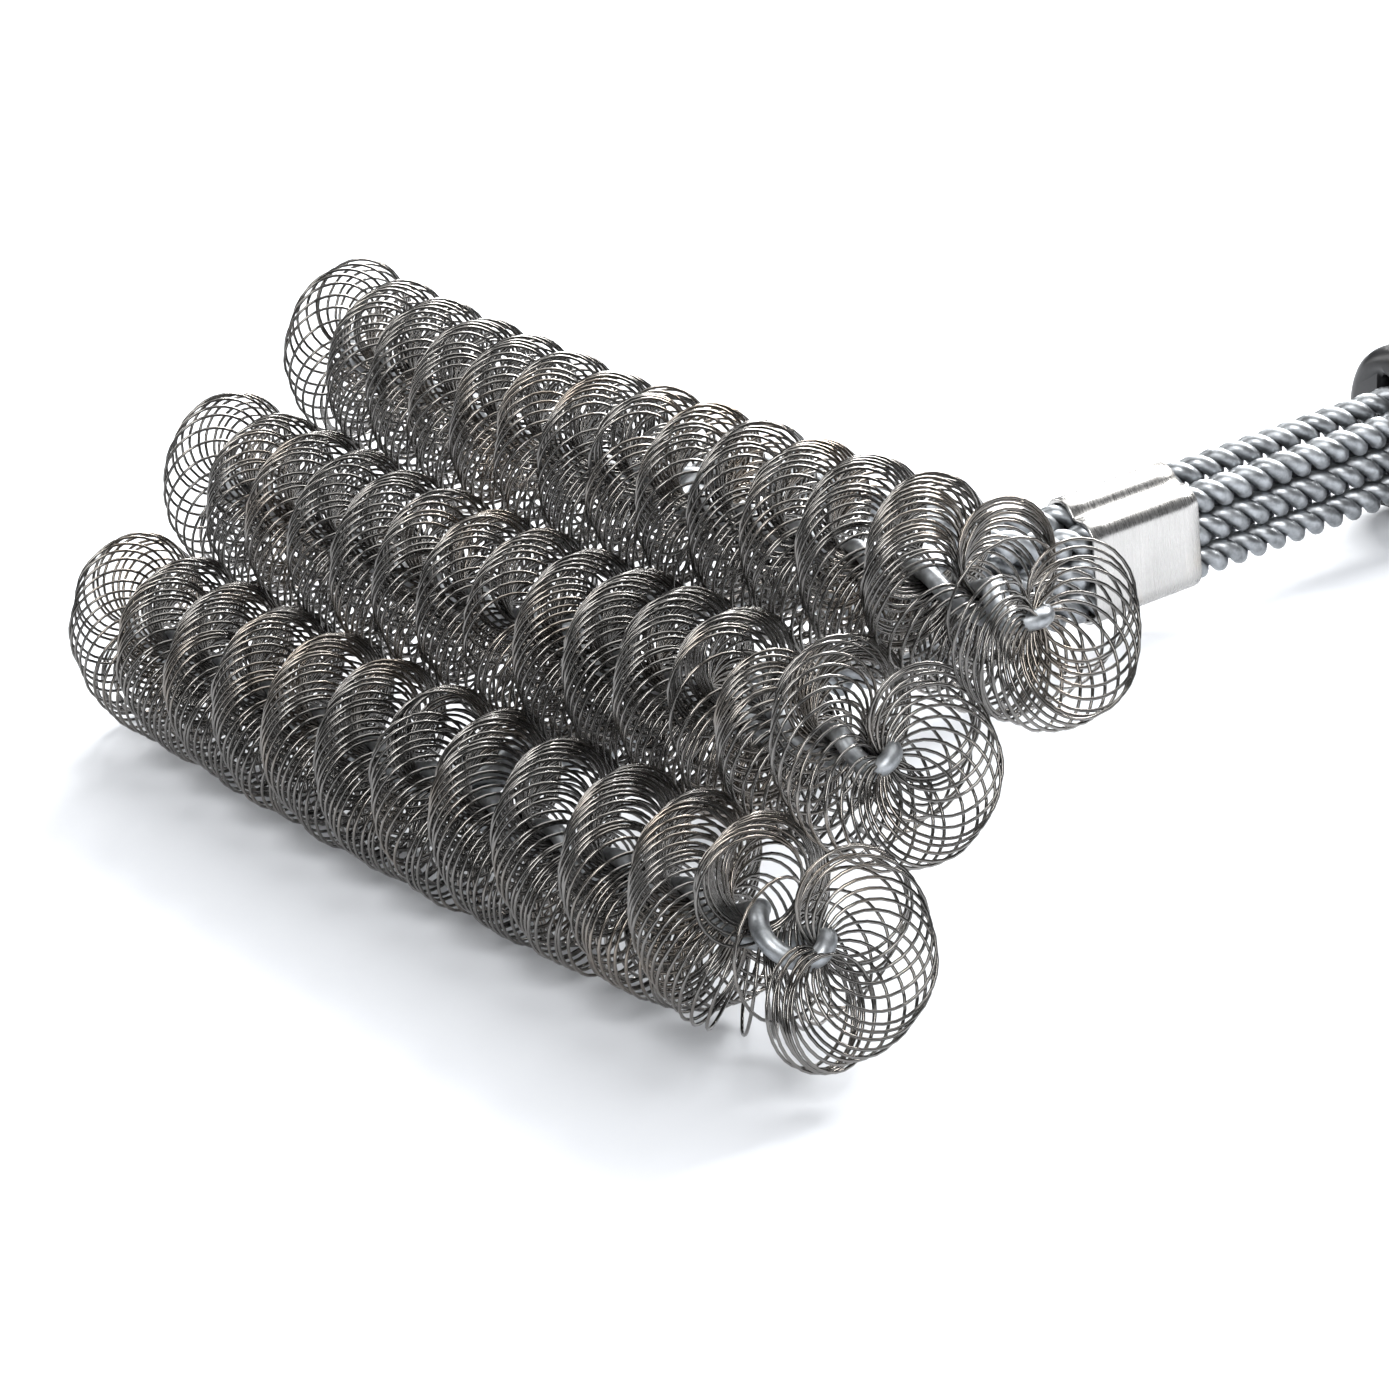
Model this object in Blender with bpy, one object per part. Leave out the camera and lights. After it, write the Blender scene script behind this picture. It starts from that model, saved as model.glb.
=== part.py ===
"""Grill cleaning brush with three coil rolls, a twisted wire stem and a moulded handle.

The brush lies on the plane Z = 0 as it does on a table, on its handle and its front roll.
+Y runs along the stem from the head to the handle, and X runs along the rolls.
Places along Y are counted from the middle roll's axis, and the finished brush is moved so that
the origin is under the middle of its box. All lengths are in metres.
"""

import math

import bmesh
import bpy
from mathutils import Vector

# Head: three parallel rolls on a plane that leans back over the stem.
ROLL_SPACING = 0.026
ROLL_RADIUS = 0.0128
ROLL_WAIST = 0.0114
ROLL_TAPER = 0.0006
ROLL_START = 0.0050
ROLL_END = 0.0945
ROLL_BORE = 0.0027
ROLL_MOUTH = 0.0052
ROLL_MOUTH_END = 0.0090
LOBES_PER_HALF = 7
HEAD_TILT = math.radians(37.0)
HEAD_HEIGHT = 0.0292

# How far each half roll's tip lies off the even layout: longer, toward the handle, and up.
TIP_SHIFT = {
    ("front", "left"): (0.0005, 0.0010, 0.0020),
    ("middle", "left"): (0.0030, 0.0010, 0.0044),
    ("rear", "left"): (0.0000, 0.0020, 0.0040),
    ("front", "right"): (0.0030, 0.0014, 0.0028),
    ("middle", "right"): (-0.0070, -0.0006, 0.0032),
    ("rear", "right"): (-0.0025, 0.0000, 0.0008),
}

# Twisted wire pairs: six of them, two columns by three rows in the stem. The left column sits
# half a row higher than the right one, so that the pairs nest.
PAIR_RADIUS = 0.00225
PAIR_COLUMN = 0.0022
PAIR_ROW = 0.00515
PAIR_STAGGER = 0.0012
PAIR_TIP = 0.0840
PAIR_TAIL = 0.2055
BEND_RADIUS = 0.0050
STEM_HEIGHT = 0.0122

# Steel sleeve squeezed round the bundle.
SLEEVE_FRONT = 0.0925
SLEEVE_BACK = 0.1137
SLEEVE_WALL = 0.0007
BUNDLE_GAP = 0.00035

# Moulded handle in three pieces.
COLLAR_FRONT = 0.1625
COLLAR_BACK = 0.1765
GRIP_FRONT = 0.1768
GRIP_BACK = 0.3785
CAP_FRONT = 0.3788
CAP_BACK = 0.4055
POCKET_END = 0.2095
UNDERSIDE = 0.0
HANG_HOLE_RADIUS = 0.0060
HANG_HOLE_CENTRE = 0.3925

BUNDLE_HALF_WIDTH = PAIR_COLUMN + PAIR_RADIUS + BUNDLE_GAP
BUNDLE_HALF_HEIGHT = PAIR_ROW + PAIR_RADIUS + 1.7 * BUNDLE_GAP
BUNDLE_SLOPE = -PAIR_STAGGER / PAIR_COLUMN

FRONT_EDGE = -ROLL_SPACING * math.cos(HEAD_TILT) - ROLL_RADIUS * math.cos(math.pi / 16)
ORIGIN_SHIFT = 0.5 * (FRONT_EDGE + CAP_BACK)

ROWS = (("front", -1), ("middle", 0), ("rear", 1))
SIDES = (("left", -1), ("right", 1))

ROLL_SIDES = 16
ROD_SIDES = 8
HANDLE_SIDES = 24


def clear_scene():
    """Remove whatever the start-up file holds."""
    for item in list(bpy.data.objects):
        bpy.data.objects.remove(item, do_unlink=True)


def make_material(name, color, metallic, roughness):
    """Return a plain Principled material."""
    material = bpy.data.materials.new(name)
    material.use_nodes = True
    shader = material.node_tree.nodes["Principled BSDF"]
    shader.inputs["Base Color"].default_value = (*color, 1.0)
    shader.inputs["Metallic"].default_value = metallic
    shader.inputs["Roughness"].default_value = roughness
    return material


def add_mesh(name, points, faces, material):
    """Make a mesh object with outward normals and one material."""
    mesh = bpy.data.meshes.new(name)
    moved = [(point[0], point[1] - ORIGIN_SHIFT, point[2]) for point in points]
    mesh.from_pydata(moved, [], faces)
    work = bmesh.new()
    work.from_mesh(mesh)
    bmesh.ops.recalc_face_normals(work, faces=work.faces)
    if work.calc_volume(signed=True) < 0.0:
        bmesh.ops.reverse_faces(work, faces=work.faces)
    work.to_mesh(mesh)
    work.free()
    mesh.materials.append(material)
    item = bpy.data.objects.new(name, mesh)
    bpy.context.scene.collection.objects.link(item)
    return item


def join_rings(rings, closed):
    """Return points and side faces for a stack of equal rings; closed joins the last to the first."""
    count = len(rings[0])
    points = [point for ring in rings for point in ring]
    steps = len(rings) if closed else len(rings) - 1
    faces = []
    for step in range(steps):
        low = step * count
        high = ((step + 1) % len(rings)) * count
        for side in range(count):
            after = (side + 1) % count
            faces.append((low + side, low + after, high + after, high + side))
    return points, faces


def roll_centre(row):
    """Return Y and Z of a roll's axis."""
    return (row * ROLL_SPACING * math.cos(HEAD_TILT),
            HEAD_HEIGHT + row * ROLL_SPACING * math.sin(HEAD_TILT))


def roll_point(side, row, along):
    """Return the point of a half roll's axis at a distance along the even layout."""
    roll_y, roll_z = roll_centre(row)
    longer, back, up = TIP_SHIFT[ROWS[row + 1][0], SIDES[side > 0][0]]
    part = (along - ROLL_START) / (PAIR_TIP - ROLL_START)
    return Vector((side * (along + part * longer), roll_y + part * back, roll_z + part * up))


def pair_path(side, row):
    """Return the centre line of one twisted pair from the handle to the tip of its half roll."""
    column = side * PAIR_COLUMN
    start_height = STEM_HEIGHT + row * PAIR_ROW - side * PAIR_STAGGER
    roll_y, roll_z = roll_centre(row)
    path = [Vector((column, PAIR_TAIL, start_height)),
            Vector((column, SLEEVE_BACK, start_height)),
            Vector((column, SLEEVE_FRONT, start_height))]
    curve_end = roll_y + BEND_RADIUS
    steps = 12
    for step in range(1, steps + 1):
        part = step / steps
        ease = part * part * (3.0 - 2.0 * part)
        path.append(Vector((column,
                            SLEEVE_FRONT + part * (curve_end - SLEEVE_FRONT),
                            start_height + ease * (roll_z - start_height))))
    for step in range(1, 7):
        turn = math.radians(15.0 * step)
        path.append(Vector((column + side * BEND_RADIUS * (1.0 - math.cos(turn)),
                            curve_end - BEND_RADIUS * math.sin(turn),
                            roll_z)))
    path.append(roll_point(side, row, 0.5 * (ROLL_START + PAIR_TIP)))
    path.append(roll_point(side, row, PAIR_TIP))
    return path


def sweep_rings(path, radius, count):
    """Return rings carried along a path without twist."""
    tangents = []
    for index in range(len(path)):
        before = path[max(index - 1, 0)]
        after = path[min(index + 1, len(path) - 1)]
        tangents.append((after - before).normalized())
    across = Vector((0.0, 0.0, 1.0))
    rings = []
    for centre, tangent in zip(path, tangents):
        across = (across - tangent * across.dot(tangent)).normalized()
        other = tangent.cross(across)
        ring = []
        for side in range(count):
            turn = 2.0 * math.pi * (side + 0.5) / count
            ring.append(centre + radius * (math.cos(turn) * across + math.sin(turn) * other))
        rings.append(ring)
    return rings


def add_twisted_wire(name, side, row, material):
    """Add one twisted wire pair as a rod of the pair's width."""
    rings = sweep_rings(pair_path(side, row), PAIR_RADIUS, ROD_SIDES)
    points, faces = join_rings(rings, False)
    last = len(points) - ROD_SIDES
    faces.append(tuple(range(ROD_SIDES)))
    faces.append(tuple(range(last, last + ROD_SIDES)))
    add_mesh(name, points, faces, material)


def roll_profile():
    """Return pairs of distance along the roll and radius, from the bore's end round to its start."""
    lobe = (ROLL_END - ROLL_START) / LOBES_PER_HALF
    profile = [(PAIR_TIP + 0.0006, ROLL_BORE),
               (ROLL_MOUTH_END, ROLL_BORE),
               (ROLL_START, ROLL_MOUTH),
               (ROLL_START, 0.0090)]
    for index in range(LOBES_PER_HALF):
        near = ROLL_START + lobe * index
        radius = ROLL_RADIUS - ROLL_TAPER * index / (LOBES_PER_HALF - 1)
        profile.append((near + lobe * 0.22, radius))
        if index < LOBES_PER_HALF - 1:
            profile.append((near + lobe * 0.78, radius))
            profile.append((near + lobe, ROLL_WAIST))
    profile.append((ROLL_END - lobe * 0.25, 0.0112))
    profile.append((ROLL_END - lobe * 0.07, 0.0078))
    profile.append((ROLL_END, 0.0030))
    return profile


def add_coil_roll(name, side, row, material):
    """Add one half roll of wound coil spring as a lobed body with a blind bore."""
    rings = []
    for along, radius in roll_profile():
        centre = roll_point(side, row, along)
        ring = []
        for step in range(ROLL_SIDES):
            turn = 2.0 * math.pi * (step + 0.5) / ROLL_SIDES
            ring.append(centre + Vector((0.0, radius * math.cos(turn), radius * math.sin(turn))))
        rings.append(ring)
    points, faces = join_rings(rings, False)
    last = len(points) - ROLL_SIDES
    faces.append(tuple(range(ROLL_SIDES)))
    faces.append(tuple(range(last, last + ROLL_SIDES)))
    add_mesh(name, points, faces, material)


def rounded_ring(along, half_width, low, high, power, floor=None, slope=0.0):
    """Return one upright rounded ring, cut flat at floor if one is given and leaning by slope."""
    middle = 0.5 * (low + high)
    half_height = 0.5 * (high - low)
    ring = []
    for step in range(HANDLE_SIDES):
        turn = 2.0 * math.pi * (step + 0.5) / HANDLE_SIDES
        cosine = math.cos(turn)
        sine = math.sin(turn)
        wide = math.copysign(abs(cosine) ** (2.0 / power), cosine) * half_width
        tall = middle + math.copysign(abs(sine) ** (2.0 / power), sine) * half_height + slope * wide
        if floor is not None:
            tall = max(tall, floor)
        ring.append(Vector((wide, along, tall)))
    return ring


def add_sleeve(name, material):
    """Add the steel sleeve round the six pairs as an open tube."""
    outer_width = BUNDLE_HALF_WIDTH + SLEEVE_WALL
    outer_height = BUNDLE_HALF_HEIGHT + SLEEVE_WALL
    low = STEM_HEIGHT - outer_height
    high = STEM_HEIGHT + outer_height
    inner_low = STEM_HEIGHT - BUNDLE_HALF_HEIGHT
    inner_high = STEM_HEIGHT + BUNDLE_HALF_HEIGHT
    slope = BUNDLE_SLOPE
    rings = [rounded_ring(SLEEVE_FRONT, outer_width, low, high, 5.0, None, slope),
             rounded_ring(SLEEVE_BACK, outer_width, low, high, 5.0, None, slope),
             rounded_ring(SLEEVE_BACK, BUNDLE_HALF_WIDTH, inner_low, inner_high, 7.0, None, slope),
             rounded_ring(SLEEVE_FRONT, BUNDLE_HALF_WIDTH, inner_low, inner_high, 7.0, None, slope)]
    points, faces = join_rings(rings, True)
    add_mesh(name, points, faces, material)


def pocket_ring(along):
    """Return the ring of the opening that takes the wire bundle in the handle."""
    return rounded_ring(along, BUNDLE_HALF_WIDTH, STEM_HEIGHT - BUNDLE_HALF_HEIGHT,
                        STEM_HEIGHT + BUNDLE_HALF_HEIGHT, 9.0, None, BUNDLE_SLOPE)


def add_front_collar(name, material):
    """Add the moulded collar where the stem enters the handle."""
    stations = ((COLLAR_FRONT, 0.0118, -0.0012, 0.0252),
                (COLLAR_FRONT + 0.0012, 0.0130, -0.0016, 0.0263),
                (COLLAR_FRONT + 0.0034, 0.0136, -0.0018, 0.0268),
                (COLLAR_BACK - 0.0010, 0.0136, -0.0018, 0.0268),
                (COLLAR_BACK, 0.0128, -0.0014, 0.0260))
    rings = [rounded_ring(*station, 2.7, UNDERSIDE) for station in stations]
    rings.append(pocket_ring(COLLAR_BACK))
    rings.append(pocket_ring(COLLAR_FRONT))
    points, faces = join_rings(rings, True)
    add_mesh(name, points, faces, material)


def add_handle_grip(name, material):
    """Add the long moulded grip with the pocket that holds the wire bundle."""
    stations = ((GRIP_FRONT, 0.0122, -0.0012, 0.0254),
                (GRIP_FRONT + 0.0020, 0.0130, -0.0018, 0.0262),
                (0.1975, 0.0120, -0.0018, 0.0245),
                (0.2175, 0.0122, -0.0018, 0.0243),
                (0.2445, 0.0140, -0.0018, 0.0262),
                (0.2795, 0.0154, -0.0018, 0.0276),
                (0.3145, 0.0150, -0.0018, 0.0268),
                (0.3445, 0.0134, -0.0018, 0.0240),
                (0.3635, 0.0132, -0.0018, 0.0222),
                (GRIP_BACK - 0.0015, 0.0142, -0.0018, 0.0212),
                (GRIP_BACK, 0.0136, 0.0002, 0.0206))
    rings = [pocket_ring(POCKET_END), pocket_ring(GRIP_FRONT)]
    rings += [rounded_ring(*station, 2.7, UNDERSIDE) for station in stations]
    points, faces = join_rings(rings, False)
    last = len(points) - HANDLE_SIDES
    faces.append(tuple(range(HANDLE_SIDES)))
    faces.append(tuple(range(last, last + HANDLE_SIDES)))
    add_mesh(name, points, faces, material)


def add_end_cap(name, material):
    """Add the end cap with its upright hanging hole."""
    stations = ((CAP_FRONT, 0.0136, 0.0002, 0.0206),
                (CAP_FRONT + 0.0015, 0.0144, -0.0018, 0.0210),
                (0.3895, 0.0148, -0.0018, 0.0196),
                (0.3975, 0.0138, -0.0014, 0.0184),
                (0.4025, 0.0112, 0.0006, 0.0170),
                (CAP_BACK, 0.0070, 0.0030, 0.0140))
    rings = [rounded_ring(*station, 2.7, UNDERSIDE) for station in stations]
    points, faces = join_rings(rings, False)
    last = len(points) - HANDLE_SIDES
    faces.append(tuple(range(HANDLE_SIDES)))
    faces.append(tuple(range(last, last + HANDLE_SIDES)))
    cap = add_mesh(name, points, faces, material)
    cutter = add_hole_cutter(material)
    modifier = cap.modifiers.new("hanging hole", "BOOLEAN")
    modifier.operation = "DIFFERENCE"
    modifier.solver = "EXACT"
    modifier.object = cutter


def add_hole_cutter(material):
    """Add the upright cylinder that cuts the hanging hole."""
    rings = []
    for height in (-0.010, 0.040):
        ring = []
        for step in range(20):
            turn = 2.0 * math.pi * (step + 0.5) / 20
            ring.append(Vector((HANG_HOLE_RADIUS * math.cos(turn),
                                HANG_HOLE_CENTRE + HANG_HOLE_RADIUS * math.sin(turn),
                                height)))
        rings.append(ring)
    points, faces = join_rings(rings, False)
    faces.append(tuple(range(20)))
    faces.append(tuple(range(20, 40)))
    cutter = add_mesh("hanging_hole_cutter", points, faces, material)
    cutter.hide_render = True
    cutter.display_type = "WIRE"
    return cutter


def build():
    """Build the whole brush."""
    clear_scene()
    wire = make_material("galvanised_wire", (0.50, 0.52, 0.54), 0.9, 0.42)
    coil = make_material("coil_steel", (0.24, 0.22, 0.20), 0.9, 0.35)
    steel = make_material("sleeve_steel", (0.72, 0.72, 0.71), 1.0, 0.24)
    plastic = make_material("handle_plastic", (0.02, 0.02, 0.022), 0.0, 0.45)
    for side_name, side in SIDES:
        for row_name, row in ROWS:
            place = row_name + "_" + side_name
            add_twisted_wire(place + "_twisted_wire", side, row, wire)
            add_coil_roll(place + "_coil_spring", side, row, coil)
    add_sleeve("stem_sleeve", steel)
    add_front_collar("handle_collar", plastic)
    add_handle_grip("handle_grip", plastic)
    add_end_cap("handle_end_cap", plastic)


build()
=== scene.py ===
"""Grill cleaning brush: coil rolls on twisted wire, a crimped steel sleeve and a moulded handle.

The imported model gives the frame, and the layout constants below place the rolls and wires on it.
Each operator makes one piece or one group of like pieces, and main() runs them in order.
"""

import math

import bmesh
import bpy
import numpy as np
from bpy.props import FloatProperty, FloatVectorProperty, PointerProperty
from bpy.types import Operator, Panel, PropertyGroup
from mathutils import Matrix, Vector


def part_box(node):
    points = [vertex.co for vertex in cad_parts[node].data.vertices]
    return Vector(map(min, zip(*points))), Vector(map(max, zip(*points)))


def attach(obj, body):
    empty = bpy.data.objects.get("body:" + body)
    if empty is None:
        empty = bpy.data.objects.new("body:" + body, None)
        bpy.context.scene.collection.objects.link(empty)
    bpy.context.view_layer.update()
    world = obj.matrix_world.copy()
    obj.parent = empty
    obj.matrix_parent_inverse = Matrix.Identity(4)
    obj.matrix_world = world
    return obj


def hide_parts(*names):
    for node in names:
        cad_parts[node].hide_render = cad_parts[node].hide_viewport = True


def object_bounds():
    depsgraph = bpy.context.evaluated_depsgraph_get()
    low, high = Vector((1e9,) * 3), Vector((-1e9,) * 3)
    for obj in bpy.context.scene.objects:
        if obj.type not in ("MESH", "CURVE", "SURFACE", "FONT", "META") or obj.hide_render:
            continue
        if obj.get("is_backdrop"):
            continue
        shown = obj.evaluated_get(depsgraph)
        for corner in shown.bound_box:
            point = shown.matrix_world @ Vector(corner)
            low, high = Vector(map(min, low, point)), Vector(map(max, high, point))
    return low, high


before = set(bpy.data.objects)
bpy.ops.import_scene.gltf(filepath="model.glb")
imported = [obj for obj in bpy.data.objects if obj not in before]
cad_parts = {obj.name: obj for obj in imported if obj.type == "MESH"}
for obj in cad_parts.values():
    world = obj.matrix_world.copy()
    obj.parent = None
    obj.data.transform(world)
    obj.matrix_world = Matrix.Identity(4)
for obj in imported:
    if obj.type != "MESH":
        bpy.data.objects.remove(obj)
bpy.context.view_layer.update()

bl_info = {
    "name": "Grill Cleaning Brush",
    "version": (1, 0, 0),
    "blender": (4, 5, 0),
    "location": "3D View > Sidebar > Grill Brush",
    "description": "Builds a coil roll grill brush on its packed frame",
    "category": "Object",
}

ROWS = (("front", -1), ("middle", 0), ("rear", 1))
SIDES = (("left", -1), ("right", 1))

Z_AXIS = np.array([0.0, 0.0, 1.0])


# ---------------------------------------------------------------------------
# Sizes that a user would change
# ---------------------------------------------------------------------------

class BrushRollSettings(PropertyGroup):
    """Sizes and colours of the coil rolls."""

    wire_diameter: FloatProperty(
        name="Spring wire", description="Diameter of the spring wire",
        default=0.00048, min=0.0001, unit="LENGTH")
    winding_radius: FloatProperty(
        name="Winding radius", description="Radius of one winding of the spring",
        default=0.0069, min=0.001, unit="LENGTH")
    winding_step: FloatProperty(
        name="Winding step", description="Distance between windings along the core",
        default=0.00060, min=0.0003, unit="LENGTH")
    lean: FloatProperty(
        name="Winding lean",
        description="Angle that the windings lean away from the core's cross plane",
        default=math.radians(15.0), subtype="ANGLE")
    tip_lean: FloatProperty(
        name="Tip winding lean",
        description="Angle that the windings lean at the bend of each tip",
        default=math.radians(12.0), subtype="ANGLE")
    dome: FloatProperty(
        name="Tip dome", description="Angle that the last windings bow outward along the roll",
        default=math.radians(13.0), subtype="ANGLE")
    color: FloatVectorProperty(
        name="Spring steel", description="Base colour of the spring wire",
        default=(0.19, 0.183, 0.174), subtype="COLOR", size=3, min=0.0, max=1.0)


class BrushStemSettings(PropertyGroup):
    """Sizes and colours of the twisted wires and the sleeve."""

    wire_diameter: FloatProperty(
        name="Stem wire", description="Diameter of the galvanised wire",
        default=0.0026, min=0.001, unit="LENGTH")
    stem_pitch: FloatProperty(
        name="Stem twist pitch", description="Length of one turn of a twisted pair in the stem",
        default=0.0082, min=0.003, unit="LENGTH")
    neck_pitch: FloatProperty(
        name="Neck twist pitch", description="Length of one turn between the sleeve and the rolls",
        default=0.0102, min=0.003, unit="LENGTH")
    wire_color: FloatVectorProperty(
        name="Galvanised wire", description="Base colour of the galvanised wire",
        default=(0.33, 0.345, 0.36), subtype="COLOR", size=3, min=0.0, max=1.0)
    sleeve_color: FloatVectorProperty(
        name="Sleeve steel", description="Base colour of the sleeve",
        default=(0.50, 0.49, 0.475), subtype="COLOR", size=3, min=0.0, max=1.0)


class BrushHandleSettings(PropertyGroup):
    """Colours of the handle."""

    plastic_color: FloatVectorProperty(
        name="Handle plastic", description="Base colour of the moulded handle",
        default=(0.008, 0.008, 0.009), subtype="COLOR", size=3, min=0.0, max=1.0)


class BrushStageSettings(PropertyGroup):
    """Floor, light and camera of the studio."""

    floor_color: FloatVectorProperty(
        name="Floor", description="Colour of the floor",
        default=(0.655, 0.672, 0.70), subtype="COLOR", size=3, min=0.0, max=1.0)
    key_power: FloatProperty(
        name="Key light", description="Power of the large overhead light",
        default=21.0, min=0.0, subtype="POWER")


# ---------------------------------------------------------------------------
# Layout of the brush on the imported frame
# ---------------------------------------------------------------------------

def box_of(node):
    """Return a node's lowest and highest corner as arrays."""
    low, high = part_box(node)
    return np.array(low), np.array(high)


ROLL_SPACING = 0.026
HEAD_TILT = math.radians(37.0)
HEAD_HEIGHT = 0.0292
HEAD_Y = box_of("front_left_coil_spring")[0][1] + 0.0333188
ROLL_START = 0.0050
PAIR_TIP = 0.0840
PAIR_COLUMN = 0.0022
PAIR_ROW = 0.00515
PAIR_STAGGER = 0.0012
BEND_RADIUS = 0.0050
STEM_HEIGHT = 0.0122
SLEEVE_FRONT = box_of("stem_sleeve")[0][1]
SLEEVE_BACK = box_of("stem_sleeve")[1][1]
COLLAR_FRONT = box_of("handle_collar")[0][1]

TIP_SHIFT = {
    ("front", "left"): (0.0005, 0.0010, -0.0003),
    ("middle", "left"): (0.0030, 0.0010, 0.0009),
    ("rear", "left"): (0.0000, 0.0020, 0.0019),
    ("front", "right"): (0.0030, 0.0014, 0.0028),
    ("middle", "right"): (-0.0070, -0.0006, 0.0032),
    ("rear", "right"): (-0.0025, 0.0000, 0.0008),
}

# The core is twisted by hand: half a turn apart, its strands cross the side that faces up and
# forward at these places. Each row has an even stretch and a few loose crossings at its right end.
CROSSING_ANGLE = math.radians(144.0)
EVEN_CROSSINGS = {"front": (-0.0697, 0.01465, 8), "middle": (-0.0750, 0.01222, 11),
                  "rear": (-0.0709, 0.01192, 11)}
LOOSE_CROSSINGS = {"front": (0.0490, 0.0634, 0.0762), "middle": (0.0578, 0.0690),
                   "rear": (0.0625, 0.0756)}
LAST_WINDING = {
    ("front", "left"): 0.0900, ("middle", "left"): 0.0917, ("rear", "left"): 0.0872,
    ("front", "right"): 0.0828, ("middle", "right"): 0.0740, ("rear", "right"): 0.0785,
}
BARE_PLACE = {"front": 0.0762, "middle": 0.0570, "rear": 0.0756}
BARE_GAP = 0.0040
BARE_BULGE = 0.0020
HEAD_SAG = 0.0009
BEND_WINDINGS = 14
TIP_LENGTH = 0.010
RIGHT_DOME = 2.0
LEFT_DOME = 1.0
PINCHED_PLACE = 0.0695
PINCHED_LEAN = math.radians(36.0)


def roll_centre(row):
    """Return Y and Z of a roll's axis at the middle of the head."""
    return (HEAD_Y + row * ROLL_SPACING * math.cos(HEAD_TILT),
            HEAD_HEIGHT - HEAD_SAG + row * ROLL_SPACING * math.sin(HEAD_TILT))


def roll_point(side, row, along):
    """Return the point of a half roll's axis at a distance along the even layout."""
    y, z = roll_centre(row)
    longer, back, up = TIP_SHIFT[ROWS[row + 1][0], SIDES[side > 0][0]]
    part = (along - ROLL_START) / (PAIR_TIP - ROLL_START)
    lift = (up + HEAD_SAG) * part * abs(part)
    return np.array([side * (along + part * longer), y + part * back, z + lift])


def reach_along(side, row):
    """Return the distance along the even layout where the last windings of a half roll sit."""
    key = (ROWS[row + 1][0], SIDES[side > 0][0])
    stretch = TIP_SHIFT[key][0] / (PAIR_TIP - ROLL_START)
    return (LAST_WINDING[key] + ROLL_START * stretch) / (1.0 + stretch)


def core_path(side, row, step):
    """Return the centre line of one twisted pair from the handle to its tip, evenly sampled."""
    column = side * PAIR_COLUMN
    low = STEM_HEIGHT + row * PAIR_ROW - side * PAIR_STAGGER
    y, z = roll_centre(row)
    points = [(column, COLLAR_FRONT + 0.016, low), (column, SLEEVE_FRONT, low)]
    curve_end = y + BEND_RADIUS
    for part in np.linspace(0.0, 1.0, 160)[1:]:
        ease = part * part * (3.0 - 2.0 * part)
        points.append((column, SLEEVE_FRONT + part * (curve_end - SLEEVE_FRONT),
                       low + ease * (z - low)))
    for turn in np.linspace(0.0, math.pi / 2.0, 40)[1:]:
        points.append((column + side * BEND_RADIUS * (1.0 - math.cos(turn)),
                       curve_end - BEND_RADIUS * math.sin(turn), z))
    for along in np.linspace(0.0080, reach_along(side, row) - 0.0006, 60):
        points.append(tuple(roll_point(side, row, along)))
    points = np.array(points)
    lengths = np.concatenate([[0.0], np.cumsum(np.linalg.norm(np.diff(points, axis=0), axis=1))])
    even = np.linspace(0.0, lengths[-1], int(lengths[-1] / step) + 1)
    path = np.stack([np.interp(even, lengths, points[:, axis]) for axis in range(3)], axis=1)
    kernel = np.ones(5) / 5.0
    smooth = path.copy()
    for axis in range(3):
        smooth[2:-2, axis] = np.convolve(path[:, axis], kernel, mode="valid")
    return smooth, even


def core_frames(path, side):
    """Return tangents and the two cross directions along a core path."""
    tangent = np.gradient(path, axis=0)
    tangent /= np.linalg.norm(tangent, axis=1)[:, None]
    first = side * np.cross(Z_AXIS, tangent)
    first /= np.linalg.norm(first, axis=1)[:, None]
    second = Z_AXIS - tangent * (tangent @ Z_AXIS)[:, None]
    second /= np.linalg.norm(second, axis=1)[:, None]
    return tangent, first, second


def roll_phase(row_name, x):
    """Return the twist angle of the core at a place along a roll.

    Each crossing is half a turn after the one before it, and the twist goes on to either tip.
    """
    first, step, count = EVEN_CROSSINGS[row_name]
    even = [first + step * index for index in range(-2, count)]
    places = np.array(even + list(LOOSE_CROSSINGS[row_name]))
    places = np.concatenate([places, [places[-1] + step, places[-1] + 2.0 * step]])
    turns = np.arange(len(places)) - 2.0
    soft = [np.interp(x + shift, places, turns) for shift in (-0.003, -0.0015, 0.0, 0.0015, 0.003)]
    return CROSSING_ANGLE + math.pi * np.mean(soft, axis=0)


# ---------------------------------------------------------------------------
# Mesh tools
# ---------------------------------------------------------------------------

def unit(vectors):
    """Return vectors scaled to length one."""
    return vectors / np.maximum(np.linalg.norm(vectors, axis=-1, keepdims=True), 1e-12)


def tube_mesh(points, outward, radius, sides):
    """Return points and faces of a round tube along a line."""
    points = np.asarray(points, float)
    tangent = unit(np.gradient(points, axis=0))
    across = unit(outward - tangent * np.sum(outward * tangent, axis=1)[:, None])
    other = np.cross(tangent, across)
    radius = np.broadcast_to(radius, (len(points),))
    turns = 2.0 * math.pi * np.arange(sides) / sides
    rings = (points[:, None, :]
             + radius[:, None, None] * (np.cos(turns)[None, :, None] * across[:, None, :]
                                        + np.sin(turns)[None, :, None] * other[:, None, :]))
    vertices = rings.reshape(-1, 3)
    base = (np.arange(len(points) - 1) * sides)[:, None]
    side = np.arange(sides)[None, :]
    after = (side + 1) % sides
    faces = np.stack([base + side, base + after, base + sides + after, base + sides + side],
                     axis=2)
    return vertices, faces.reshape(-1, 4)


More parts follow.
